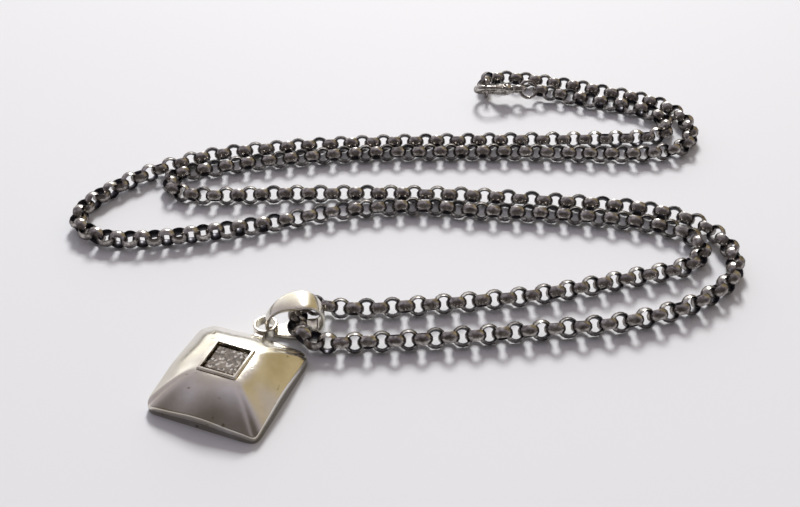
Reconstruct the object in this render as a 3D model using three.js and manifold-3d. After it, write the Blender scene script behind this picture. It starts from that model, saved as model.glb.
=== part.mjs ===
// A pendant necklace laid out on a table: a domed square silver pendant with a square stone,
// its leaf bail, a belcher chain in two strands and a lobster clasp. Millimetres, +Z up.
// The origin is the middle of the pendant's flat back; +X runs along the chain's long rows.

import * as THREE from "three";
import { mergeVertices } from "three/addons/utils/BufferGeometryUtils.js";
import Module from "manifold-3d";

const wasm = await Module();
wasm.setup();

const TURN = Math.PI / 180;

// Driving dimensions
const chain = {
  tubeRadius: 1.08, // corner radius of the eight-sided stand-in for 2.2 mm links
  gap: 0.3, // between one run and the next
};

const pendant = {
  side: 11.7,
  angle: -20.9 * TURN, // how the pendant lies on the table
  cornerWall: 0.65, // wall height at a corner
  edgeRise: 0.85, // how much higher the rim is at mid side
  domeTop: 3.4, // height of the dome where it meets the setting
  wall: 0.7, // shell thickness
  backThickness: 0.5,
  fit: 0.1, // clearance round the back plate and the setting
};

const setting = {
  side: 4.0,
  opening: 3.4,
  ledge: 2.7,
  top: 3.72,
  ledgeTop: 2.7,
};

const stone = {
  side: 3.24,
  culet: 1.2,
  girdleLow: 3.06,
  girdleHigh: 3.18,
  table: 3.46,
  tableShare: 0.8,
};

const eye = {
  reach: 1.91, // from the pendant's edge to the middle of the eye
  outer: 1.25,
  wall: 0.3,
  low: 0.58,
  high: 1.35,
  lug: 0.9,
};

const bail = {
  heading: 8 * TURN, // the way the bail points from the eye
  setBack: 0.35, // of the bail's end behind the middle of the eye
  lift: 0.05, // of its lowest point above the table
  strip: 0.4, // thickness of the strip
  width: 2.7,
  tipWidth: 1.0,
  endWidth: 1.3,
};

const clasp = {
  tail: [32.6, 54.2, 1.92], // middle of the tail hole
  roll: -38.5 * TURN, // it leans on its back edge
  tailOuter: 1.1,
  tailHole: 0.65,
  tailThickness: 0.8,
  hookReach: 4.4, // from the tail hole to the middle of the hook
  hookOuter: 1.75,
  hookHole: 1.15,
  hookThickness: 0.9,
  bodyFrom: 0.65,
  bodyTo: 3.25,
  bodyThickness: 1.7,
  bodyWidth: 2.3,
  mouth: [3.3, 4.8], // the gap in the hook that the lever shuts
  slotFrom: 1.4,
};

const trigger = {
  pivot: [1.9, 0.62], // from the tail hole, in the plane of the clasp
  knuckle: 0.38,
  tip: [4.62, 1.3],
  width: 0.46,
  thickness: 0.6,
  play: 0.09, // on each side of the lever
  pin: 0.17,
  pinFit: 0.04,
};

const jumpRing = { radius: 1.14, wire: 0.21, centre: [33.95, 54.2, 1.92] };
const endRing = { radius: 1.22, wire: 0.17, centre: [28.2, 55.5, 1.41], turn: 8 * TURN };

// The two strands of the chain, as points along the middle of the chain
const claspSideRoute = [
  [36.0, 54.6, 1.4], [39.0, 53.9, 1.1], [42.4, 52.6, 1.1], [46.8, 51.1, 1.1], [49.9, 49.4, 1.1],
  [51.3, 46.8, 1.1], [50.8, 44.4, 1.1], [48.4, 43.3, 1.1], [43.4, 42.8, 1.1], [31.8, 42.4, 1.1],
  [15.1, 41.9, 1.1], [2.1, 40.7, 1.1], [-8.8, 38.2, 1.1], [-16.9, 32.8, 1.1], [-20.6, 27.4, 1.1],
  [-20.2, 24.2, 1.1], [-16.8, 21.9, 1.1], [-11.8, 21.8, 1.1], [-0.1, 24.2, 1.1], [9.3, 27.0, 1.1],
  [18.7, 28.0, 1.1], [25.1, 27.1, 1.1], [36.1, 26.2, 1.1], [45.0, 24.5, 1.1], [49.0, 22.4, 1.1],
  [49.8, 19.6, 1.1], [47.5, 16.9, 1.1], [41.9, 15.1, 1.1], [31.6, 12.3, 1.1], [21.0, 10.7, 1.1],
  [10.8, 9.9, 1.12], [7.9, 10.1, 1.42], [6.3, 9.3, 1.65], [5.98, 8.2, 1.67], [5.98, 7.8, 1.67],
];
const ringSideRoute = [
  [5.98, 7.5, 1.67], [5.98, 7.1, 1.67], [6.3, 6.0, 1.6], [7.9, 4.9, 1.25], [10.6, 4.8, 1.12],
  [20.0, 5.5, 1.1], [30.6, 6.7, 1.1], [40.8, 8.3, 1.1], [48.2, 11.5, 1.1], [52.4, 15.8, 1.1],
  [52.9, 20.4, 1.1], [50.5, 24.7, 1.1], [44.9, 27.3, 1.1], [34.6, 28.9, 1.1], [21.1, 30.3, 1.1],
  [4.4, 30.5, 1.1], [-8.4, 30.3, 1.1], [-10.9, 31.6, 1.1], [-11.5, 33.3, 1.1], [-10.3, 34.9, 1.1],
  [-7.4, 35.7, 1.1],
  [-3.4, 36.9, 1.1], [10.0, 39.2, 1.1], [29.0, 39.7, 1.1], [47.9, 39.4, 1.1], [52.6, 41.2, 1.1],
  [54.2, 45.6, 1.1], [52.2, 50.8, 1.1], [44.0, 55.1, 1.1], [37.3, 57.5, 1.1], [32.6, 58.7, 1.1],
  [30.0, 58.8, 1.1], [28.5, 58.2, 1.2], [28.1, 57.2, 1.3],
];

// Each strand is cut into runs where it turns: the length of each run, and its steps
const claspSideRuns = [
  [14.5, 2], [9.5, 5], [46, 4], [24, 4], [16, 7],
  [37, 4], [21, 3], [14, 6], [33, 4], [0, 5],
];
const ringSideRuns = [[8.5, 5], [36, 4], [17, 6], [57, 5], [12, 6], [56, 5], [17, 6], [0, 4]];

// Finishes
const silver = () => new THREE.MeshStandardMaterial({ color: 0xd6d2c6, metalness: 1, roughness: 0.22 });
const darkSilver = () => new THREE.MeshStandardMaterial({ color: 0x6e6a68, metalness: 1, roughness: 0.35 });
const clear = () => new THREE.MeshStandardMaterial({ color: 0xb9bcc0, metalness: 0, roughness: 0.05 });

const necklace = new THREE.Group();

function add(parent, name, geometry, material) {
  const mesh = new THREE.Mesh(geometry, material);
  mesh.name = name;
  parent.add(mesh);
  return mesh;
}

// Booleans
function solid(geometry) {
  const bare = geometry.clone();
  bare.deleteAttribute("normal");
  bare.deleteAttribute("uv");
  const merged = mergeVertices(bare, 1e-4);
  return new wasm.Manifold(new wasm.Mesh({
    numProp: 3,
    vertProperties: new Float32Array(merged.attributes.position.array),
    triVerts: new Uint32Array(merged.index.array),
  }));
}

function geometryOf(body) {
  const mesh = body.getMesh();
  const geometry = new THREE.BufferGeometry();
  geometry.setAttribute("position", new THREE.BufferAttribute(mesh.vertProperties, 3));
  geometry.setIndex(new THREE.BufferAttribute(mesh.triVerts, 1));
  geometry.computeVertexNormals();
  return geometry;
}

function box(width, depth, low, high, x = 0, y = 0) {
  return new THREE.BoxGeometry(width, depth, high - low).translate(x, y, (low + high) / 2);
}

function disc(radius, low, high, x = 0, y = 0, sides = 32) {
  return new THREE.CylinderGeometry(radius, radius, high - low, sides)
    .rotateX(Math.PI / 2)
    .translate(x, y, (low + high) / 2);
}

// The chain: an eight-sided tube for each run, with a flat underneath
const octagon = new THREE.Shape();
for (let corner = 0; corner < 8; corner++) {
  const turn = (corner + 0.5) * Math.PI / 4;
  const x = chain.tubeRadius * Math.cos(turn);
  const y = chain.tubeRadius * Math.sin(turn);
  if (corner === 0) {
    octagon.moveTo(x, y);
  } else {
    octagon.lineTo(x, y);
  }
}
octagon.closePath();

// The part of a strand between two shares of its length
class Stretch extends THREE.Curve {
  constructor(strand, from, to) {
    super();
    this.strand = strand;
    this.from = from;
    this.to = to;
  }

  getPoint(t, target) {
    return this.strand.getPointAt(this.from + (this.to - this.from) * t, target);
  }
}

function layStrand(name, route, runs) {
  const points = route.map((point) => new THREE.Vector3(...point));
  const strand = new THREE.CatmullRomCurve3(points, false, "centripetal");
  strand.arcLengthDivisions = 2000;
  const whole = strand.getLength();
  let start = 0;
  runs.forEach(([length, steps], index) => {
    const last = index === runs.length - 1;
    const end = last ? whole : start + length;
    const from = start + chain.gap / 2;
    const to = end - chain.gap / 2;
    const path = new Stretch(strand, from / whole, to / whole);
    const tube = new THREE.ExtrudeGeometry(octagon, { steps, bevelEnabled: false, extrudePath: path });
    add(necklace, `${name}_${String(index + 1).padStart(2, "0")}`, tube, darkSilver());
    start = end;
  });
}

// The two strands meet inside the bail, with a gap between their ends
layStrand("chain_clasp_side", claspSideRoute, claspSideRuns);
layStrand("chain_ring_side", ringSideRoute, ringSideRuns);

// The pendant lies on its back, in a group turned as it lies
const pendantGroup = new THREE.Group();
pendantGroup.rotation.z = pendant.angle;
necklace.add(pendantGroup);

// A square block whose top is a pillow: ridges to the corners, and a rim that rises at mid side
function pillow(side, drop, low) {
  const across = 24;
  const block = new THREE.BoxGeometry(side, side, 1, across, across, 1);
  const place = block.attributes.position;
  const inner = setting.side / pendant.side;
  for (let i = 0; i < place.count; i++) {
    if (place.getZ(i) < 0) {
      place.setZ(i, low);
      continue;
    }
    const u = Math.abs(place.getX(i)) * 2 / pendant.side;
    const v = Math.abs(place.getY(i)) * 2 / pendant.side;
    const far = Math.max(u, v, inner);
    const along = Math.min(u, v) / far;
    const down = (far - inner) / (1 - inner);
    const fall = (pendant.domeTop - pendant.cornerWall) * down ** 1.25;
    const rise = pendant.edgeRise * (1 - along * along) * down;
    place.setZ(i, pendant.domeTop - fall + rise - drop);
  }
  return block;
}

const cavitySide = pendant.side - 2 * pendant.wall;
const windowCut = box(setting.side + 2 * pendant.fit, setting.side + 2 * pendant.fit, 0, setting.top + 1);
const cavity = pillow(cavitySide, pendant.wall, -1);
const plateCut = box(cavitySide, cavitySide, -1, pendant.backThickness + pendant.fit);
const shell = solid(pillow(pendant.side, 0, 0))
  .subtract(solid(cavity))
  .subtract(solid(plateCut))
  .subtract(solid(windowCut));
add(pendantGroup, "pendant_shell", geometryOf(shell), silver());

const plateSide = cavitySide - 2 * pendant.fit;
add(pendantGroup, "pendant_back_plate", box(plateSide, plateSide, 0, pendant.backThickness), silver());

const settingLow = pendant.backThickness + pendant.fit;
const collet = solid(box(setting.side, setting.side, settingLow, setting.top))
  .subtract(solid(box(setting.ledge, setting.ledge, settingLow - 1, setting.top + 1)))
  .subtract(solid(box(setting.opening, setting.opening, setting.ledgeTop, setting.top + 1)));
add(pendantGroup, "stone_collet", geometryOf(collet), silver());

// A square lathe: four sides, turned so that its flats face the pendant's edges
const corner = stone.side / Math.SQRT2;
const stoneProfile = [
  new THREE.Vector2(0, stone.culet),
  new THREE.Vector2(corner, stone.girdleLow),
  new THREE.Vector2(corner, stone.girdleHigh),
  new THREE.Vector2(corner * stone.tableShare, stone.table),
  new THREE.Vector2(0, stone.table),
];
const gem = new THREE.LatheGeometry(stoneProfile, 4).rotateY(Math.PI / 4).rotateX(Math.PI / 2);
add(pendantGroup, "square_stone", gem, clear());

const eyeMiddle = pendant.side / 2 + eye.reach;
const lugReach = eye.reach - eye.outer + 0.3;
const lugMiddle = pendant.side / 2 + pendant.fit / 2 + lugReach / 2;
const lug = box(eye.lug, lugReach, eye.low, eye.high - 0.1, 0, lugMiddle);
const eyeBody = solid(disc(eye.outer, eye.low, eye.high, 0, eyeMiddle))
  .add(solid(lug))
  .subtract(solid(disc(eye.outer - eye.wall, eye.low - 1, eye.high + 1, 0, eyeMiddle)));
add(pendantGroup, "pendant_eye", geometryOf(eyeBody), silver());

// The bail: a closed strip round the eye and the chain, seen from the side, then cut to a leaf
const bailGroup = new THREE.Group();
const upright = new THREE.Vector3(0, 0, 1);
const eyeCentre = new THREE.Vector3(0, eyeMiddle, 0).applyAxisAngle(upright, pendant.angle);
bailGroup.position.set(
  eyeCentre.x - bail.setBack * Math.cos(bail.heading),
  eyeCentre.y - bail.setBack * Math.sin(bail.heading),
  bail.lift,
);
bailGroup.rotation.z = bail.heading;
necklace.add(bailGroup);

const bailMiddle = new THREE.CatmullRomCurve3([
  [0.5, 1.0], [0.64, 1.9], [1.3, 2.8], [2.35, 3.5], [3.6, 3.98], [4.5, 4.02], [5.3, 3.65], [5.95, 2.75],
  [6.14, 1.6], [5.72, 0.62], [4.8, 0.25], [3.0, 0.22], [1.3, 0.22], [0.62, 0.42],
].map(([x, z]) => new THREE.Vector3(x, z, 0)), true, "centripetal");

function offsetLoop(curve, distance, count) {
  const loop = [];
  for (let i = 0; i < count; i++) {
    const point = curve.getPointAt(i / count);
    const tangent = curve.getTangentAt(i / count);
    loop.push(new THREE.Vector2(point.x - tangent.y * distance, point.y + tangent.x * distance));
  }
  return loop;
}

const strip = new THREE.Shape(offsetLoop(bailMiddle, bail.strip / 2, 44));
strip.holes.push(new THREE.Path(offsetLoop(bailMiddle, -bail.strip / 2, 44).reverse()));
const hoop = new THREE.ExtrudeGeometry(strip, { depth: bail.width, bevelEnabled: false })
  .rotateX(Math.PI / 2)
  .translate(0, bail.width / 2, 0);
const leaf = new THREE.Shape();
leaf.moveTo(-1, -bail.tipWidth / 2);
leaf.lineTo(0.9, -bail.tipWidth / 2);
leaf.quadraticCurveTo(2.6, -bail.width * 0.58, 4.0, -bail.width / 2);
leaf.lineTo(7, -bail.endWidth / 2);
leaf.lineTo(7, bail.endWidth / 2);
leaf.lineTo(4.0, bail.width / 2);
leaf.quadraticCurveTo(2.6, bail.width * 0.58, 0.9, bail.tipWidth / 2);
leaf.lineTo(-1, bail.tipWidth / 2);
leaf.closePath();
const leafCut = new THREE.ExtrudeGeometry(leaf, { depth: 8, bevelEnabled: false }).translate(0, 0, -2);
add(bailGroup, "bail", geometryOf(solid(hoop).intersect(solid(leafCut))), silver());

// The clasp, in a group that leans on its back edge; its nose points along the group's +X
const claspGroup = new THREE.Group();
claspGroup.position.set(...clasp.tail);
claspGroup.rotation.set(clasp.roll, 0, Math.PI);
necklace.add(claspGroup);

const half = (thickness) => [-thickness / 2, thickness / 2];
const block = (left, right, near, far, thickness) =>
  box(right - left, far - near, ...half(thickness), (left + right) / 2, (near + far) / 2);
const leverSlot = trigger.thickness + 2 * trigger.play;
const claspBody = solid(disc(clasp.tailOuter, ...half(clasp.tailThickness)))
  .add(solid(disc(clasp.hookOuter, ...half(clasp.hookThickness), clasp.hookReach, 0, 40)))
  .add(solid(block(clasp.bodyFrom, clasp.bodyTo, ...half(clasp.bodyWidth), clasp.bodyThickness)))
  .subtract(solid(disc(clasp.tailHole, -2, 2)))
  .subtract(solid(disc(clasp.hookHole, -2, 2, clasp.hookReach, 0, 40)))
  .subtract(solid(block(clasp.slotFrom, clasp.mouth[0] + 0.05, 0, 2.4, leverSlot)))
  .subtract(solid(block(clasp.mouth[0], clasp.mouth[1], 0.55, 2.4, 4)))
  .subtract(solid(block(2.6, clasp.mouth[1], clasp.bodyWidth / 2, 2.4, 4)))
  .subtract(solid(disc(trigger.pin + trigger.pinFit, -2, 2, ...trigger.pivot, 16)));
add(claspGroup, "clasp_body", geometryOf(claspBody), darkSilver());
const pin = disc(trigger.pin, ...half(clasp.bodyThickness), ...trigger.pivot, 16);
add(claspGroup, "clasp_pivot_pin", pin, darkSilver());

// The lever: a knuckle on the pin, an arm that shuts the mouth of the hook, and a thumb nub
const reach = new THREE.Vector2(...trigger.tip).sub(new THREE.Vector2(...trigger.pivot));
const arm = new THREE.BoxGeometry(reach.length(), trigger.width, trigger.thickness)
  .translate(reach.length() / 2, 0, 0)
  .rotateZ(reach.angle())
  .translate(...trigger.pivot, 0);
const nub = disc(0.3, ...half(trigger.thickness), trigger.pivot[0] + 0.95, trigger.pivot[1] + 0.62, 16);
const lever = solid(disc(trigger.knuckle, ...half(trigger.thickness), ...trigger.pivot, 20))
  .add(solid(arm))
  .add(solid(nub))
  .subtract(solid(disc(trigger.pin + trigger.pinFit, -2, 2, ...trigger.pivot, 16)));
add(claspGroup, "clasp_trigger", geometryOf(lever), darkSilver());

// The spring: a bowed leaf between the floor of the slot and the underside of the lever
const bow = new THREE.Shape();
bow.moveTo(2.35, 0.05);
bow.quadraticCurveTo(2.75, 0.66, 3.15, 0.05);
bow.lineTo(3.03, 0.05);
bow.quadraticCurveTo(2.75, 0.46, 2.47, 0.05);
bow.closePath();
const leafSpring = new THREE.ExtrudeGeometry(bow, { depth: 0.44, bevelEnabled: false, curveSegments: 8 });
add(claspGroup, "clasp_spring", leafSpring.translate(0, 0, -0.22), darkSilver());

// The rings at the two ends of the chain
function ring({ radius, wire }) {
  return new THREE.TorusGeometry(radius, wire, 12, 36);
}

const jumpRingMesh = add(necklace, "clasp_jump_ring", ring(jumpRing), darkSilver());
jumpRingMesh.position.set(...jumpRing.centre);
jumpRingMesh.rotation.x = clasp.roll + Math.PI / 2;

const endRingMesh = add(necklace, "chain_end_ring", ring(endRing), darkSilver());
endRingMesh.position.set(...endRing.centre);
endRingMesh.rotation.y = Math.PI / 2;
endRingMesh.rotation.order = "ZYX";
endRingMesh.rotation.z = endRing.turn;

export default necklace;
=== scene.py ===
"""A silver pendant necklace laid out on a pale table: a domed square pendant with a square stone,
its leaf bail, a belcher chain in two strands, a lobster clasp and the end ring it hooks into."""

import math
from random import Random

import bmesh
import bpy
from mathutils import Matrix, Vector


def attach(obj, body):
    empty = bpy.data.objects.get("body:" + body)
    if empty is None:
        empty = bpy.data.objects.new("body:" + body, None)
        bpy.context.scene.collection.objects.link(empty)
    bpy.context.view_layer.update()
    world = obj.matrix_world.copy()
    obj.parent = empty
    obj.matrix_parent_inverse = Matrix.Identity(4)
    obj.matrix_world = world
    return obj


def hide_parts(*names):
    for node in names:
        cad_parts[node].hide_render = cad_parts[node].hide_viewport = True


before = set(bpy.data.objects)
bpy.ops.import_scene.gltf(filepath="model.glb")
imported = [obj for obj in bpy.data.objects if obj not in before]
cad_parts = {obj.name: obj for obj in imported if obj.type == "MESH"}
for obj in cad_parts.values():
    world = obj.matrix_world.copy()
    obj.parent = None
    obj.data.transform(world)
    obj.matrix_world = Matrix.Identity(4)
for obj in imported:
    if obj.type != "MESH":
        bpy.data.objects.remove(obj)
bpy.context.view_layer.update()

MM = 0.001


# ---------------------------------------------------------------- camera

CAMERA_PLACE = (0.01635, -0.0678, 0.0702)
CAMERA_LOOKS_DOWN = 38.5
CAMERA_LENS = 45.26

camera_data = bpy.data.cameras.new("camera")
camera_data.lens = CAMERA_LENS
camera_data.sensor_width = 36.0
camera_data.clip_start = 0.001
camera_data.clip_end = 20.0
camera = bpy.data.objects.new("camera", camera_data)
camera.location = CAMERA_PLACE
camera.rotation_euler = (math.radians(90.0 - CAMERA_LOOKS_DOWN), 0.0, 0.0)
bpy.context.scene.collection.objects.link(camera)
bpy.context.scene.camera = camera
# the display shows the light as it falls, without a film-like shoulder
bpy.context.scene.view_settings.view_transform = "Standard"


# ---------------------------------------------------------------- small tools

def linear(hex_colour):
    """An sRGB hex colour as the linear RGBA a shader socket takes."""
    channels = [int(hex_colour[i:i + 2], 16) / 255.0 for i in (1, 3, 5)]
    return [c / 12.92 if c <= 0.04045 else ((c + 0.055) / 1.055) ** 2.4 for c in channels] + [1.0]


def new_material(name):
    """A material, its node tree and its shader."""
    material = bpy.data.materials.new(name)
    material.use_nodes = True
    tree = material.node_tree
    shader = tree.nodes["Principled BSDF"]
    return material, tree, shader


def node(tree, kind, inputs=(), settings=()):
    """A node of that kind, with socket values or links in inputs and its options in settings."""
    made = tree.nodes.new(kind)
    for option, value in dict(settings).items():
        setattr(made, option, value)
    for socket, value in dict(inputs).items():
        if isinstance(value, bpy.types.NodeSocket):
            tree.links.new(value, made.inputs[socket])
        else:
            made.inputs[socket].default_value = value
    return made


def finish_piece(shape, name, body, material, replaced, sharp=35.0, modifiers=()):
    """The bmesh, in millimetres, becomes a named piece that rides on its body and stands for CAD nodes."""
    bmesh.ops.scale(shape, vec=(MM, MM, MM), verts=shape.verts)
    mesh = bpy.data.meshes.new(name)
    shape.to_mesh(mesh)
    shape.free()
    mesh.materials.append(material)
    mesh.shade_smooth()
    mesh.set_sharp_from_angle(angle=math.radians(sharp))
    piece = bpy.data.objects.new(name, mesh)
    bpy.context.scene.collection.objects.link(piece)
    for kind, options in modifiers:
        modifier = piece.modifiers.new(kind.lower(), kind)
        for option, value in options.items():
            setattr(modifier, option, value)
    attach(piece, body)
    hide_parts(*replaced)
    return piece


def refinish(name, material):
    """A CAD node that keeps its shape takes a finish."""
    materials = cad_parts[name].data.materials
    materials.clear()
    materials.append(material)


# Points of a shape nearer than this, in mm, are one point
SAME_POINT = 0.0001


def close_up(shape):
    """Points that coincide become one, and the faces turn outwards."""
    bmesh.ops.remove_doubles(shape, verts=shape.verts, dist=SAME_POINT)
    bmesh.ops.recalc_face_normals(shape, faces=shape.faces)


WIRE_RING_STEPS = 40


def spun_ring(section, steps):
    """A closed section of (radius, height) points, spun about Z."""
    shape = bmesh.new()
    corners = [shape.verts.new((radius, 0.0, height)) for radius, height in section]
    sides = [shape.edges.new((a, b)) for a, b in zip(corners, corners[1:] + corners[:1])]
    bmesh.ops.spin(shape, geom=corners + sides, axis=(0, 0, 1), cent=(0, 0, 0),
                   angle=math.tau, steps=steps, use_merge=True)
    close_up(shape)
    return shape


def round_wire(radius, wire, points=12):
    """The round section of a bent wire, as (radius, height) points."""
    turns = [math.tau * (i + 0.5) / points for i in range(points)]
    return [(radius + wire * math.cos(t), wire * math.sin(t)) for t in turns]


# ---------------------------------------------------------------- finishes

def polished_silver():
    """Sterling silver, buffed on a wheel: a warm white metal, finely scratched, with a few casting pits."""
    material, tree, shader = new_material("polished_sterling_silver")
    shader.inputs["Metallic"].default_value = 1.0
    place = node(tree, "ShaderNodeTexCoord").outputs["Object"]
    # worn tarnish in soft patches of about 4 mm
    patches = node(tree, "ShaderNodeTexNoise", {"Vector": place, "Scale": 260.0, "Detail": 4.0})
    tone = node(tree, "ShaderNodeValToRGB", {"Fac": patches.outputs["Fac"]})
    tone.color_ramp.elements[0].position = 0.35
    tone.color_ramp.elements[0].color = linear("#D0C9B8")
    tone.color_ramp.elements[1].position = 0.65
    tone.color_ramp.elements[1].color = linear("#E6E2DA")
    # casting pits, a quarter of a millimetre wide and a few millimetres apart
    pores = node(tree, "ShaderNodeTexNoise", {"Vector": place, "Scale": 1500.0, "Detail": 0.0})
    pits = node(tree, "ShaderNodeMapRange", {"Value": pores.outputs["Fac"],
                                             "From Min": 0.77, "From Max": 0.88})
    spotted = node(tree, "ShaderNodeMix", {"Factor": pits.outputs["Result"], "A": tone.outputs["Color"],
                                           "B": linear("#8F8468")}, {"data_type": "RGBA"})
    tree.links.new(spotted.outputs["Result"], shader.inputs["Base Color"])
    # buffing marks a few hundredths of a millimetre apart, drawn at 0.25 mm so that they show
    marks = node(tree, "ShaderNodeTexNoise", {"Vector": place, "Scale": 4000.0, "Detail": 3.0})
    gloss = node(tree, "ShaderNodeMapRange", {"Value": marks.outputs["Fac"],
                                              "To Min": 0.13, "To Max": 0.27})
    tree.links.new(gloss.outputs["Result"], shader.inputs["Roughness"])
    bump = node(tree, "ShaderNodeBump", {"Height": marks.outputs["Fac"],
                                         "Strength": 0.07, "Distance": 0.04 * MM})
    sunk = node(tree, "ShaderNodeBump", {"Height": pits.outputs["Result"],
                                         "Strength": 0.3, "Distance": 0.05 * MM,
                                         "Normal": bump.outputs["Normal"]}, {"invert": True})
    tree.links.new(sunk.outputs["Normal"], shader.inputs["Normal"])
    return material


def oxidised_silver(name, shade, rubbed):
    """Silver, blackened and tumbled: gunmetal grey, brighter where it rubs, with small hard highlights."""
    material, tree, shader = new_material(name)
    shader.inputs["Metallic"].default_value = 1.0
    shader.inputs["Specular Tint"].default_value = linear("#98989C")
    place = node(tree, "ShaderNodeTexCoord").outputs["Object"]
    # the wear comes in blotches of about 0.4 mm
    wear = node(tree, "ShaderNodeTexNoise", {"Vector": place, "Scale": 2500.0, "Detail": 4.0})
    tone = node(tree, "ShaderNodeValToRGB", {"Fac": wear.outputs["Fac"]})
    tone.color_ramp.elements[0].position = 0.36
    tone.color_ramp.elements[0].color = linear(shade)
    tone.color_ramp.elements[1].position = 0.68
    tone.color_ramp.elements[1].color = linear(rubbed)
    tree.links.new(tone.outputs["Color"], shader.inputs["Base Color"])
    gloss = node(tree, "ShaderNodeMapRange", {"Value": wear.outputs["Fac"],
                                              "To Min": 0.36, "To Max": 0.18})
    tree.links.new(gloss.outputs["Result"], shader.inputs["Roughness"])
    bump = node(tree, "ShaderNodeBump", {"Height": wear.outputs["Fac"],
                                         "Strength": 0.25, "Distance": 0.03 * MM})
    tree.links.new(bump.outputs["Normal"], shader.inputs["Normal"])
    return material


def blackened_and_shaded_silver():
    """The inside of the links: blackening never rubbed off there, darkened further as painted shade for the
    crevices between links: very dark, dull.
    """
    material, tree, shader = new_material("blackened_silver_with_painted_shade")
    shader.inputs["Metallic"].default_value = 1.0
    shader.inputs["Base Color"].default_value = linear("#46454A")
    shader.inputs["Roughness"].default_value = 0.4
    return material


def cut_stone():
    """A clear cut stone, polished on every facet, with painted reflections in its base colour: grey and
    brown, with small painted white sparks.
    """
    material, tree, shader = new_material("clear_cut_stone")
    place = node(tree, "ShaderNodeTexCoord").outputs["Object"]
    # painted reflections stand for what the facets throw back at each other, in slivers of about a quarter of
    # a millimetre
    glint_cells = node(tree, "ShaderNodeTexVoronoi", {"Vector": place, "Scale": 4200.0})
    depth = node(tree, "ShaderNodeValToRGB", {"Fac": glint_cells.outputs["Color"]})
    depth.color_ramp.elements[0].position = 0.2
    depth.color_ramp.elements[0].color = linear("#62574C")
    depth.color_ramp.elements[1].position = 0.72
    depth.color_ramp.elements[1].color = linear("#AC9E8E")
    # a painted spark: the brightest slivers turn white
    painted_spark = depth.color_ramp.elements.new(0.76)
    painted_spark.color = linear("#F4F0EA")
    tree.links.new(depth.outputs["Color"], shader.inputs["Base Color"])
    shader.inputs["Roughness"].default_value = 0.03
    shader.inputs["IOR"].default_value = 1.76
    shader.inputs["Transmission Weight"].default_value = 0.45
    return material


def table_top():
    """A smooth painted table: pale grey with a breath of lavender, almost matt."""
    material, tree, shader = new_material("pale_painted_board")
    shader.inputs["Base Color"].default_value = linear("#E3E5E9")
    shader.inputs["Roughness"].default_value = 0.7
    shader.inputs["Specular IOR Level"].default_value = 0.2
    return material


bright = polished_silver()
dark = oxidised_silver("tumbled_oxidised_silver", "#7A7471", "#C4C0BB")
rubbed = oxidised_silver("rubbed_clasp_silver", "#98928C", "#DAD6D0")
# blackening and painted shade for the inside of the links
inside_shade = blackened_and_shaded_silver()
clear = cut_stone()


# ---------------------------------------------------------------- chain

# The two strands, as points in metres along the middle of the chain: the first starts at the clasp,
# the second in the bail
CLASP_SIDE_ROUTE = [
    (0.0354, 0.0545, 0.0016), (0.0362, 0.0545, 0.0014), (0.0390, 0.0539, 0.0011),
    (0.0424, 0.0526, 0.0011), (0.0468, 0.0511, 0.0011), (0.0499, 0.0494, 0.0011),
    (0.0513, 0.0468, 0.0011), (0.0508, 0.0444, 0.0011), (0.0484, 0.0433, 0.0011),
    (0.0434, 0.0428, 0.0011), (0.0318, 0.0424, 0.0011), (0.0151, 0.0419, 0.0011),
    (0.0021, 0.0407, 0.0011), (-0.0088, 0.0382, 0.0011), (-0.0169, 0.0328, 0.0011),
    (-0.0206, 0.0274, 0.0011), (-0.0202, 0.0242, 0.0011), (-0.0168, 0.0219, 0.0011),
    (-0.0118, 0.0218, 0.0011), (-0.0001, 0.0242, 0.0011), (0.0093, 0.0270, 0.0011),
    (0.0187, 0.0280, 0.0011), (0.0251, 0.0271, 0.0011), (0.0361, 0.0262, 0.0011),
    (0.0450, 0.0245, 0.0011), (0.0490, 0.0224, 0.0011), (0.0498, 0.0196, 0.0011),
    (0.0475, 0.0169, 0.0011), (0.0419, 0.0151, 0.0011), (0.0316, 0.0123, 0.0011),
    (0.0210, 0.0107, 0.0011), (0.0108, 0.0099, 0.00112), (0.0079, 0.0101, 0.00142),
    (0.0063, 0.0093, 0.00165), (0.00598, 0.0082, 0.00167), (0.00598, 0.0078, 0.00167),
]
RING_SIDE_ROUTE = [
    (0.00598, 0.0075, 0.00167), (0.00598, 0.0071, 0.00167), (0.0063, 0.0060, 0.0016),
    (0.0079, 0.0049, 0.00125), (0.0106, 0.0048, 0.00112), (0.0200, 0.0055, 0.0011),
    (0.0306, 0.0067, 0.0011), (0.0408, 0.0083, 0.0011), (0.0482, 0.0115, 0.0011),
    (0.0524, 0.0158, 0.0011), (0.0529, 0.0204, 0.0011), (0.0505, 0.0247, 0.0011),
    (0.0449, 0.0273, 0.0011), (0.0346, 0.0289, 0.0011), (0.0211, 0.0303, 0.0011),
    (0.0044, 0.0305, 0.0011), (-0.0084, 0.0303, 0.0011), (-0.0109, 0.0316, 0.0011),
    (-0.0115, 0.0333, 0.0011), (-0.0103, 0.0349, 0.0011), (-0.0074, 0.0357, 0.0011),
    (-0.0034, 0.0369, 0.0011), (0.0100, 0.0392, 0.0011), (0.0290, 0.0397, 0.0011),
    (0.0479, 0.0394, 0.0011), (0.0526, 0.0412, 0.0011), (0.0542, 0.0456, 0.0011),
    (0.0522, 0.0508, 0.0011), (0.0440, 0.0551, 0.0011), (0.0373, 0.0575, 0.0011),
    (0.0326, 0.0587, 0.0011), (0.0300, 0.0588, 0.0011), (0.0285, 0.0582, 0.0012),
    (0.0281, 0.0572, 0.0013),
]

# Distance in mm from the bail at which a link of that number lies; those between are spaced evenly
CLASP_SIDE_LINKS = [(0, 0.4), (4, 5.75), (30, 40.55), (116, 157.05), (146, 197.85), (164, 222.9)]
RING_SIDE_LINKS = [(0, 0.8), (3, 4.85), (19, 26.4), (56, 77.15), (86, 119.0), (167, 228.0)]

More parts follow.
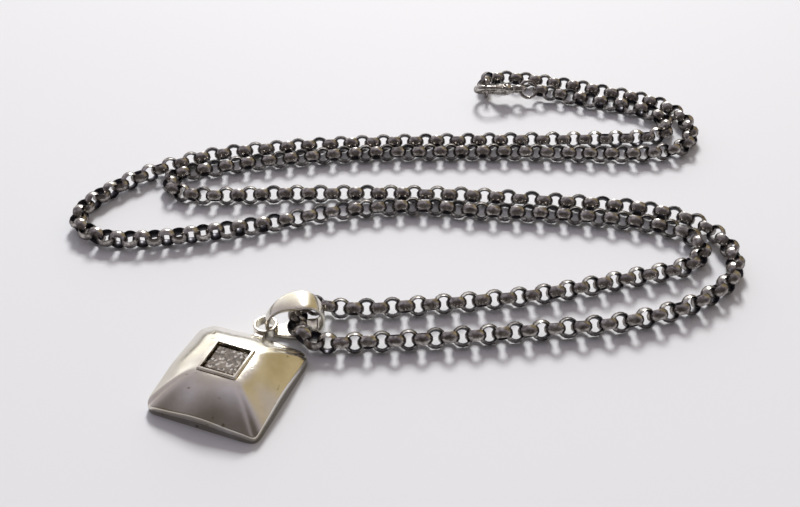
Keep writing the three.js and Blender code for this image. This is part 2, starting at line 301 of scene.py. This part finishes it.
# How far in degrees the strand is rolled on its own length at that distance in mm from the bail
CLASP_SIDE_ROLL = [(0, 0), (95, 0), (108, 38), (130, 38), (142, 0), (180, 0), (196, 22), (212, 22),
                   (221, 0), (224, 0)]
RING_SIDE_ROLL = [(0, 90), (6, 0), (60, 0), (66, 14), (78, 0), (230, 0)]

# The oval wire a link is bent from, as (radius, height) in mm: narrow inside, crowned outside
LINK_STRIP = [(0.71, -0.24), (0.86, -0.55), (1.09, -0.19), (1.09, 0.19), (0.86, 0.55), (0.71, 0.24)]
LINK_STEPS = 16
# Faces of a link nearer to its axis than this, in mm, are the inner ones, which take the blackening and the
# painted shade
LINK_INSIDE = 0.8

# A link leans to either side by LEAN degrees, give or take UNEVEN
LEAN = 45.0
UNEVEN = 7.0


def smooth_route(points, steps=24):
    """A centripetal Catmull-Rom line through the points."""
    points = [Vector(p) for p in points]
    ends = [2 * points[0] - points[1], *points, 2 * points[-1] - points[-2]]
    line = []
    for p0, p1, p2, p3 in zip(ends, ends[1:], ends[2:], ends[3:]):
        d0, d1, d2 = (math.sqrt((b - a).length) for a, b in ((p0, p1), (p1, p2), (p2, p3)))
        leave = ((p1 - p0) / d0 - (p2 - p0) / (d0 + d1) + (p2 - p1) / d1) * d1
        arrive = ((p2 - p1) / d1 - (p3 - p1) / (d1 + d2) + (p3 - p2) / d2) * d1
        for k in range(steps):
            t = k / steps
            line.append(p1 + leave * t + (-3 * p1 + 3 * p2 - 2 * leave - arrive) * t * t
                        + (2 * p1 - 2 * p2 + leave + arrive) * t ** 3)
    line.append(points[-1])
    return line


class Line:
    """A route with its length, asked for the place and heading at any distance along it."""

    def __init__(self, route):
        self.points = smooth_route(route)
        self.reached = [0.0]
        for a, b in zip(self.points, self.points[1:]):
            self.reached.append(self.reached[-1] + (b - a).length)
        self.length = self.reached[-1]

    def at(self, distance):
        """The point at a distance in metres from the start."""
        distance = min(max(distance, 0.0), self.length)
        i = next(k for k in range(1, len(self.reached)) if self.reached[k] >= distance)
        share = (distance - self.reached[i - 1]) / (self.reached[i] - self.reached[i - 1])
        return self.points[i - 1].lerp(self.points[i], share)

    def heading(self, distance, reach=0.6 * MM):
        """The way the line runs there, over a short reach to either side."""
        return (self.at(distance + reach) - self.at(distance - reach)).normalized()


def link_places(table):
    """Every link's distance from the bail in mm, from the few that are given."""
    places = []
    for (n0, d0), (n1, d1) in zip(table, table[1:]):
        places += [d0 + (d1 - d0) * k / (n1 - n0) for k in range(n1 - n0)]
    return places + [table[-1][1]]


def roll_at(table, distance):
    """The strand's roll in degrees at a distance in mm, between the two entries round it."""
    for (d0, r0), (d1, r1) in zip(table, table[1:]):
        if distance <= d1:
            return r0 + (r1 - r0) * (distance - d0) / (d1 - d0)
    return table[-1][1]


def belcher_link():
    """One link round the Z axis, its inner face in the second material: blackening with painted shade."""
    shape = spun_ring(LINK_STRIP, LINK_STEPS)
    bmesh.ops.scale(shape, vec=(MM, MM, MM), verts=shape.verts)
    for face in shape.faces:
        middle = face.calc_center_median()
        face.material_index = 1 if math.hypot(middle.x, middle.y) < LINK_INSIDE * MM else 0
    mesh = bpy.data.meshes.new("belcher_link")
    shape.to_mesh(mesh)
    shape.free()
    return mesh


def lay_links(name, route, table, parity, roll, nodes, seed):
    """A strand of belcher links: each turned a quarter turn from the last, 45 degrees to the table."""
    line = Line(route)
    jitter = Random(seed)
    pattern = belcher_link()
    strand = bmesh.new()
    for count, distance in enumerate(link_places(table)):
        along = line.heading(distance * MM)
        side = along.cross(Vector((0, 0, 1))).normalized()
        up = side.cross(along)
        lean = LEAN if (count + parity) % 2 == 0 else -LEAN
        lean += roll_at(roll, distance) + jitter.uniform(-UNEVEN, UNEVEN)
        lean = math.radians(lean)
        normal = up * math.cos(lean) + side * math.sin(lean)
        turn = Matrix((along, normal.cross(along), normal)).transposed().to_4x4()
        link = pattern.copy()
        link.transform(Matrix.Translation(line.at(distance * MM)) @ turn)
        strand.from_mesh(link)
        bpy.data.meshes.remove(link)
    bpy.data.meshes.remove(pattern)
    bmesh.ops.scale(strand, vec=(1 / MM,) * 3, verts=strand.verts)
    piece = finish_piece(strand, name, "chain", dark, nodes, sharp=60.0)
    # the second material: the inner faces' blackening and painted shade
    piece.data.materials.append(inside_shade)


CLASP_SIDE_NODES = [f"chain_clasp_side_{i:02d}" for i in range(1, 11)]
RING_SIDE_NODES = [f"chain_ring_side_{i:02d}" for i in range(1, 9)]

lay_links("chain_strand_clasp_side", CLASP_SIDE_ROUTE[::-1], CLASP_SIDE_LINKS, parity=0,
          roll=CLASP_SIDE_ROLL, nodes=CLASP_SIDE_NODES, seed=3)
lay_links("chain_strand_ring_side", RING_SIDE_ROUTE, RING_SIDE_LINKS, parity=1,
          roll=RING_SIDE_ROLL, nodes=RING_SIDE_NODES, seed=5)


# ---------------------------------------------------------------- pendant

# Sizes in mm, on the pendant's own axes: it is turned to its place last
PENDANT_TURN = Matrix.Rotation(math.radians(-20.9), 4, "Z")
SIDE = 11.7
SETTING = 4.0
DOME_TOP = 3.48
CORNER_WALL = 0.65
EDGE_RISE = 0.85
BACK_CORNER_RISE = 0.5
SHELL_WALL = 0.6
SHELL_CELLS = 92
# Half the width of the hole for the setting, in cells
HOLE_CELLS = 16
# The ridges from the setting to the corners: a higher power makes them sharper
RIDGE_POWER = 12
# The outline's corners: a higher power makes them squarer
CORNER_POWER = 14
BACK_CORNER_POWER = 8
# The four faces: a higher power makes them fuller
DOME_SWELL = 1.55
SMOOTHING_ROUNDS = 4


def superellipse(u, v, power):
    """How far out a point lies, on contours that are squares with round corners."""
    return (u ** power + v ** power) ** (1 / power)


def dome_height(x, y):
    """Height of the cushion-shaped top: four swelling faces, soft ridges to the corners, an arched rim."""
    u = abs(x) * 2 / SIDE
    v = abs(y) * 2 / SIDE
    if u + v < 1e-6:
        return DOME_TOP
    # 1 on the ridges, 0 in the middle of a side
    along = 2 * u * v / (u * u + v * v)
    reach = superellipse(u, v, RIDGE_POWER) / 2 ** (along ** 8 / RIDGE_POWER)
    inner = SETTING / SIDE
    down = max(0.0, (reach - inner) / (1 - inner))
    ratio = min(u, v) / max(u, v)
    fall = (DOME_TOP - CORNER_WALL) * down ** DOME_SWELL
    rise = EDGE_RISE * math.cos(ratio * math.pi / 2) ** 1.5 * down
    if x < 0 < y:
        rise += BACK_CORNER_RISE * ratio ** 2 * down
    return DOME_TOP - fall + rise


def make_shell():
    """The domed shell: a raised sheet with a square hole, its rim turned down to the table."""
    shape = bmesh.new()
    bmesh.ops.create_grid(shape, x_segments=SHELL_CELLS, y_segments=SHELL_CELLS, size=SIDE / 2)
    for vert in shape.verts:
        vert.co.z = dome_height(vert.co.x, vert.co.y)
    hole = HOLE_CELLS * SIDE / SHELL_CELLS
    inside = [f for f in shape.faces
              if abs(f.calc_center_median().x) < hole and abs(f.calc_center_median().y) < hole]
    bmesh.ops.delete(shape, geom=inside, context="FACES")
    rim = [e for e in shape.edges if e.is_boundary
           and max(abs(e.verts[0].co.x), abs(e.verts[0].co.y)) > SIDE / 2 - 0.01]
    for vert in shape.verts:
        u, v = abs(vert.co.x) * 2 / SIDE, abs(vert.co.y) * 2 / SIDE
        power = BACK_CORNER_POWER if vert.co.x < 0 < vert.co.y else CORNER_POWER
        blunt = max(u, v) / superellipse(u, v, power)
        vert.co.x *= blunt
        vert.co.y *= blunt
    inner = [v for v in shape.verts if not v.is_boundary]
    for _ in range(SMOOTHING_ROUNDS):
        bmesh.ops.smooth_vert(shape, verts=inner, factor=0.5,
                              use_axis_x=True, use_axis_y=True, use_axis_z=True)
    skirt = bmesh.ops.extrude_edge_only(shape, edges=rim)
    for item in skirt["geom"]:
        if isinstance(item, bmesh.types.BMVert):
            item.co.z = 0.0
    bmesh.ops.recalc_face_normals(shape, faces=shape.faces)
    crease = [e for e in rim if e.is_valid and len(e.link_faces) == 2]
    bmesh.ops.bevel(shape, geom=crease, offset=0.1, segments=3, profile=0.5, affect="EDGES",
                    clamp_overlap=True, material=-1)
    bmesh.ops.transform(shape, matrix=PENDANT_TURN, verts=shape.verts)
    wall = {"thickness": SHELL_WALL * MM, "offset": -1.0, "use_rim": True}
    finish_piece(shape, "pendant_dome", "pendant", bright, ["pendant_shell"],
                 sharp=30.0, modifiers=[("SOLIDIFY", wall)])


make_shell()


def make_collet():
    """The square setting: a raised frame with a sloped lip, a pocket for the stone and its seat."""
    low, high = 0.62, 3.7
    width, frame_width = 4.08, 0.34
    seat_depth, seat_width, pocket_depth = 1.3, 0.35, 1.6
    shape = bmesh.new()
    bmesh.ops.create_cube(shape, size=1.0)
    bmesh.ops.scale(shape, vec=(width, width, high - low), verts=shape.verts)
    bmesh.ops.translate(shape, vec=(0, 0, (high + low) / 2), verts=shape.verts)
    top = max(shape.faces, key=lambda f: f.calc_center_median().z)
    bmesh.ops.inset_individual(shape, faces=[top], thickness=frame_width)
    for depth, inset in ((seat_depth, seat_width), (pocket_depth, None)):
        walls = bmesh.ops.extrude_discrete_faces(shape, faces=[top])
        top = walls["faces"][0]
        bmesh.ops.translate(shape, vec=(0, 0, -depth), verts=top.verts)
        if inset:
            bmesh.ops.inset_individual(shape, faces=[top], thickness=inset)
    close_up(shape)
    frame_middle = (width - frame_width) / 2
    lip = [e for e in shape.edges
           if all(v.co.z > high - 0.01 and max(abs(v.co.x), abs(v.co.y)) > frame_middle for v in e.verts)]
    bmesh.ops.bevel(shape, geom=lip, offset=0.14, segments=3, profile=0.5, affect="EDGES", material=-1)
    bmesh.ops.transform(shape, matrix=PENDANT_TURN, verts=shape.verts)
    finish_piece(shape, "setting_frame", "pendant", bright, ["stone_collet"], sharp=50.0)


make_collet()


def make_stone():
    """A square princess-cut stone: a flat table, a bevelled crown, and a pavilion of chevron facets."""
    shape = bmesh.new()
    # height and half widths towards the corners and the sides, from the table down to the culet
    levels = [(3.46, 1.42, 1.42), (3.24, 1.68, 1.68), (3.12, 1.68, 1.68), (2.66, 1.20, 1.38),
              (2.14, 0.84, 0.72), (1.64, 0.30, 0.46), (1.2, 0.05, 0.05)]
    bmesh.ops.create_circle(shape, cap_ends=True, segments=8, radius=1.0)
    face = shape.faces[:][0]
    eighth = math.pi / 4
    for count, (height, corner, edge) in enumerate(levels):
        if count:
            upper = face
            lowered = bmesh.ops.extrude_face_region(shape, geom=[upper])
            face = [g for g in lowered["geom"] if isinstance(g, bmesh.types.BMFace)][0]
            # only the table stays: a level's own face would be left inside the stone
            if count > 1:
                bmesh.ops.delete(shape, geom=[upper], context="FACES_ONLY")
        for vert in face.verts:
            step = round(math.atan2(vert.co.y, vert.co.x) / eighth)
            reach = corner * math.sqrt(2) if step % 2 else edge
            vert.co = (reach * math.cos(step * eighth), reach * math.sin(step * eighth), height)
    girdle = levels[2][0]
    slopes = [f for f in shape.faces if f.calc_center_median().z < girdle and len(f.verts) == 4]
    bmesh.ops.triangulate(shape, faces=slopes)
    close_up(shape)
    bmesh.ops.transform(shape, matrix=PENDANT_TURN, verts=shape.verts)
    finish_piece(shape, "cut_stone", "pendant", clear, ["square_stone"], sharp=1.0)


make_stone()

refinish("pendant_back_plate", bright)


EYE_REACH = SIDE / 2 + 1.91


def make_eye():
    """A flat band ring at the pendant's far edge, soldered on by a short lug."""
    low, high, outer, inner = 0.5, 1.5, 1.25, 0.95
    inside, outside = 0.05, 0.08
    section = [(inner, low + inside), (inner + inside, low), (outer - outside, low),
               (outer, low + outside), (outer, high - outside), (outer - outside, high),
               (inner + inside, high), (inner, high - inside)]
    shape = spun_ring(section, WIRE_RING_STEPS)
    bmesh.ops.translate(shape, vec=(0, EYE_REACH, 0), verts=shape.verts)
    lug_size, lug_middle = (0.9, 0.85, 0.6), (0, SIDE / 2 + 0.46, 0.9)
    lug = bmesh.ops.create_cube(shape, size=1.0)["verts"]
    bmesh.ops.scale(shape, vec=lug_size, verts=lug)
    bmesh.ops.translate(shape, vec=lug_middle, verts=lug)
    bmesh.ops.transform(shape, matrix=PENDANT_TURN, verts=shape.verts)
    finish_piece(shape, "eye_ring", "pendant", bright, ["pendant_eye"], sharp=35.0)


make_eye()


# ---------------------------------------------------------------- bail

# The bail's own X runs from the eye ring to the chain, Z up
EYE_MIDDLE = PENDANT_TURN @ Vector((0, EYE_REACH, 0))
BAIL_HEADING = Matrix.Rotation(math.radians(8), 4, "Z")
BAIL_SET_BACK = 0.35
BAIL_LIFT = 0.05
BAIL_THICK = 0.38
BAIL_CROWN = 0.056
BAIL_ENDS = 0.95
BAIL_WIDEST = 2.74
WIDEST_AT = 3.8
# Past its widest point the strip loses this much of its width over that length
FAR_LOSS = 1.5
FAR_LENGTH = 2.6
BAIL_MIDDLE_LINE = [
    (0.5, 1.0), (0.60, 2.0), (1.2, 2.95), (2.2, 3.7), (3.45, 4.0), (4.5, 4.02), (5.3, 3.66), (5.96, 2.75),
    (6.14, 1.6), (5.72, 0.62), (4.8, 0.25), (3.0, 0.22), (1.3, 0.22), (0.62, 0.42),
]


def leaf_width(x):
    """Width of the bail at a distance from the eye: narrow there, widest over the arch, drawn in beyond."""
    if x < WIDEST_AT:
        t = max(0.0, x / WIDEST_AT)
        return BAIL_ENDS + (BAIL_WIDEST - BAIL_ENDS) * t * t * (3 - 2 * t)
    t = (x - WIDEST_AT) / FAR_LENGTH
    return BAIL_WIDEST - FAR_LOSS * t * t


def make_bail():
    """A strip bent to a closed leaf: narrow at the eye, broad over the arch, slightly crowned across."""
    loop = [Vector((x, 0, z)) for x, z in BAIL_MIDDLE_LINE]
    steps = 12
    closed = smooth_route([loop[-1], *loop, loop[0], loop[1]], steps)[steps:-steps - 1]
    around = len(closed)
    shape = bmesh.new()
    bmesh.ops.create_grid(shape, x_segments=around, y_segments=6, size=1.0)
    for vert in shape.verts:
        share = (vert.co.x + 1) / 2
        lateral = vert.co.y
        index = round(share * around) % around
        middle = closed[index]
        ahead = closed[(index + 1) % around] - closed[index - 1]
        outward = Vector((-ahead.z, 0, ahead.x)).normalized()
        half = leaf_width(middle.x) / 2
        crown = BAIL_CROWN * half * (1 - lateral * lateral)
        vert.co = middle + Vector((0, lateral * half, 0)) + outward * (crown - 0.01)
    close_up(shape)
    place = (Matrix.Translation(EYE_MIDDLE) @ BAIL_HEADING
             @ Matrix.Translation((-BAIL_SET_BACK, 0, BAIL_LIFT)))
    bmesh.ops.transform(shape, matrix=place, verts=shape.verts)
    strip = {"thickness": BAIL_THICK * MM, "offset": 0.0, "use_even_offset": True, "use_rim": True}
    edge = {"width": 0.09 * MM, "segments": 3, "limit_method": "ANGLE", "angle_limit": math.radians(50)}
    finish_piece(shape, "leaf_bail", "bail", bright, ["bail"], sharp=40.0,
                 modifiers=[("SOLIDIFY", strip), ("BEVEL", edge)])


make_bail()


# ---------------------------------------------------------------- rings and clasp

# The clasp lies propped on its edge, its own X from the tail ring to the hook
CLASP_LEAN = Matrix.Rotation(math.radians(-38.5), 4, "X")
CLASP_PLACE = Matrix.Translation((32.6, 54.2, 1.92)) @ CLASP_LEAN @ Matrix.Rotation(math.pi, 4, "Z")
JUMP_RING_PLACE = Matrix.Translation((33.95, 54.2, 1.92)) @ CLASP_LEAN @ Matrix.Rotation(math.pi / 2, 4, "X")
END_RING_PLACE = (Matrix.Translation((28.2, 55.5, 1.41)) @ Matrix.Rotation(math.radians(8), 4, "Z")
                  @ Matrix.Rotation(math.pi / 2, 4, "Y"))


def make_wire_ring(name, body, cad_node, radius, wire, place):
    """A closed ring of round wire."""
    shape = spun_ring(round_wire(radius, wire), WIRE_RING_STEPS)
    bmesh.ops.transform(shape, matrix=place, verts=shape.verts)
    finish_piece(shape, name, body, dark, [cad_node])


make_wire_ring("jump_ring", "clasp_link", "clasp_jump_ring", radius=1.14, wire=0.21, place=JUMP_RING_PLACE)
make_wire_ring("end_ring", "end_link", "chain_end_ring", radius=1.22, wire=0.17, place=END_RING_PLACE)


def swept(shape, path, points=14):
    """A closed oval bar along a path in the XY plane: (x, y, half width across, half thickness)."""
    ring = bmesh.ops.create_circle(shape, cap_ends=True, segments=points, radius=1.0)["verts"]
    face = ring[0].link_faces[0]
    circle = [vert.co.copy() for vert in face.verts]
    spots = [Vector((x, y, 0)) for x, y, _, _ in path]
    for count, (_, _, across, thick) in enumerate(path):
        if count:
            pulled = bmesh.ops.extrude_face_region(shape, geom=[face])
            face = [g for g in pulled["geom"] if isinstance(g, bmesh.types.BMFace)][0]
        ahead = spots[min(count + 1, len(path) - 1)] - spots[max(count - 1, 0)]
        left = Vector((-ahead.y, ahead.x, 0)).normalized()
        for vert, at in zip(face.verts, circle):
            vert.co = spots[count] + left * at.x * across + Vector((0, 0, at.y * thick))


def cast_skin(voxel, rounds):
    """Modifiers that melt overlapping bars into one cast body, from a voxel in mm."""
    skin = {"mode": "VOXEL", "voxel_size": voxel * MM, "use_smooth_shade": True}
    soften = {"factor": 0.5, "iterations": rounds}
    return [("REMESH", skin), ("SMOOTH", soften)]


def make_clasp():
    """The lobster clasp's body: a tail ring, a pear-shaped shoulder and a hook that closes round the nose."""
    shape = spun_ring([(0.66, -0.30), (0.76, -0.40), (1.0, -0.40), (1.1, -0.28),
                       (1.1, 0.28), (1.0, 0.40), (0.76, 0.40), (0.66, 0.30)], 28)
    swept(shape, [(0.75, 0, 0.3, 0.3), (1.0, -0.02, 0.62, 0.55), (1.4, -0.06, 0.95, 0.76),
                  (1.9, -0.12, 1.06, 0.82), (2.5, -0.30, 0.86, 0.76), (3.05, -0.62, 0.52, 0.62),
                  (3.5, -0.98, 0.34, 0.48)])
    # the hook is bent round a middle, and thins over its last steps
    middle, radius, half_width, half_thick = 4.4, 1.43, 0.31, 0.44
    first_turn, turn_step, steps, thinned = -140, 15.6, 15, 3
    hook = []
    for step in range(steps):
        turn = math.radians(first_turn + step * turn_step)
        end = 1.0 - 0.25 * max(0.0, (step - (steps - 1 - thinned)) / thinned)
        hook.append((middle + radius * math.cos(turn), radius * math.sin(turn),
                     half_width * end, half_thick * end))
    swept(shape, hook)
    bmesh.ops.transform(shape, matrix=CLASP_PLACE, verts=shape.verts)
    finish_piece(shape, "lobster_clasp", "clasp", rubbed, ["clasp_body"],
                 modifiers=cast_skin(0.055, 8))


def make_trigger():
    """The clasp's gate: a knuckle on the pin, a curved arm to the nose and a thumb knob."""
    shape = bmesh.new()
    swept(shape, [(1.75, 0.50, 0.12, 0.12), (1.95, 0.66, 0.28, 0.28), (2.5, 0.98, 0.24, 0.3),
                  (3.2, 1.26, 0.22, 0.3), (3.9, 1.38, 0.21, 0.29), (4.45, 1.37, 0.20, 0.27),
                  (4.68, 1.33, 0.14, 0.2)])
    swept(shape, [(2.05, 0.98, 0.14, 0.16), (2.08, 1.18, 0.2, 0.26), (2.08, 1.32, 0.24, 0.3),
                  (2.08, 1.42, 0.14, 0.2)])
    bmesh.ops.transform(shape, matrix=CLASP_PLACE, verts=shape.verts)
    finish_piece(shape, "clasp_gate", "trigger", rubbed, ["clasp_trigger"],
                 modifiers=cast_skin(0.035, 6))


def make_pin():
    """The rivet that the gate turns on, its heads hammered round."""
    radius, length, middle = 0.17, 1.34, (1.9, 0.62, 0)
    shape = bmesh.new()
    bmesh.ops.create_cone(shape, cap_ends=True, segments=24, radius1=radius, radius2=radius, depth=length)
    heads = [e for e in shape.edges if abs(e.verts[0].co.z - e.verts[1].co.z) < 1e-6]
    bmesh.ops.bevel(shape, geom=heads, offset=0.07, segments=3, profile=0.5, affect="EDGES", material=-1)
    bmesh.ops.transform(shape, matrix=CLASP_PLACE @ Matrix.Translation(middle), verts=shape.verts)
    finish_piece(shape, "clasp_rivet", "clasp", rubbed, ["clasp_pivot_pin"])


make_clasp()
make_trigger()
make_pin()

refinish("clasp_spring", dark)


# ---------------------------------------------------------------- table and light

TABLE_HALF = 1.5


def make_table():
    """The table top that everything lies on."""
    shape = bmesh.new()
    bmesh.ops.create_grid(shape, x_segments=1, y_segments=1, size=TABLE_HALF)
    mesh = bpy.data.meshes.new("table_top")
    shape.to_mesh(mesh)
    shape.free()
    mesh.materials.append(table_top())
    table = bpy.data.objects.new("table_top", mesh)
    bpy.context.scene.collection.objects.link(table)


make_table()


def soft_light(name, place, aim, side, power, colour):
    """A square window of light, turned to its aim."""
    data = bpy.data.lights.new(name, "AREA")
    data.size = side
    data.energy = power
    data.color = linear(colour)[:3]
    lamp = bpy.data.objects.new(name, data)
    lamp.location = place
    lamp.rotation_euler = (Vector(aim) - Vector(place)).to_track_quat("-Z", "Y").to_euler()
    bpy.context.scene.collection.objects.link(lamp)


soft_light("window_behind", place=(0.06, 1.03, 0.74), aim=(0.015, 0.025, 0), side=0.28, power=15.5,
           colour="#FFFDFA")


def make_room():
    """A room bright low down behind the table, dark on the near side, warm in its right far corner."""
    world = bpy.data.worlds.new("room")
    bpy.context.scene.world = world
    world.use_nodes = True
    tree = world.node_tree
    place = node(tree, "ShaderNodeTexCoord").outputs["Generated"]
    towards = node(tree, "ShaderNodeSeparateXYZ", {"Vector": place})
    depth = node(tree, "ShaderNodeMapRange", {"Value": towards.outputs["Y"],
                                              "From Min": -1.0, "From Max": 1.0})
    walls = node(tree, "ShaderNodeValToRGB", {"Fac": depth.outputs["Result"]})
    # from the near wall, over the ceiling, to the window wall
    walls.color_ramp.elements[0].position = 0.25
    walls.color_ramp.elements[0].color = linear("#4C4746")
    walls.color_ramp.elements[1].position = 0.92
    walls.color_ramp.elements[1].color = linear("#FFFFFF")
    for position, colour in ((0.81, "#9B969B"), (0.5, "#8B8790")):
        walls.color_ramp.elements.new(position).color = linear(colour)
    right = node(tree, "ShaderNodeMapRange", {"Value": towards.outputs["X"],
                                              "From Min": 0.15, "From Max": 0.45})
    far = node(tree, "ShaderNodeMapRange", {"Value": towards.outputs["Y"],
                                            "From Min": 0.0, "From Max": 0.3})
    corner = node(tree, "ShaderNodeMath", {0: right.outputs["Result"], 1: far.outputs["Result"]},
                  {"operation": "MULTIPLY"})
    tinted = node(tree, "ShaderNodeMix", {"Factor": corner.outputs["Value"], "A": walls.outputs["Color"],
                                          "B": linear("#96896A")}, {"data_type": "RGBA"})
    background = tree.nodes["Background"]
    tree.links.new(tinted.outputs["Result"], background.inputs["Color"])
    background.inputs["Strength"].default_value = 1.7


make_room()
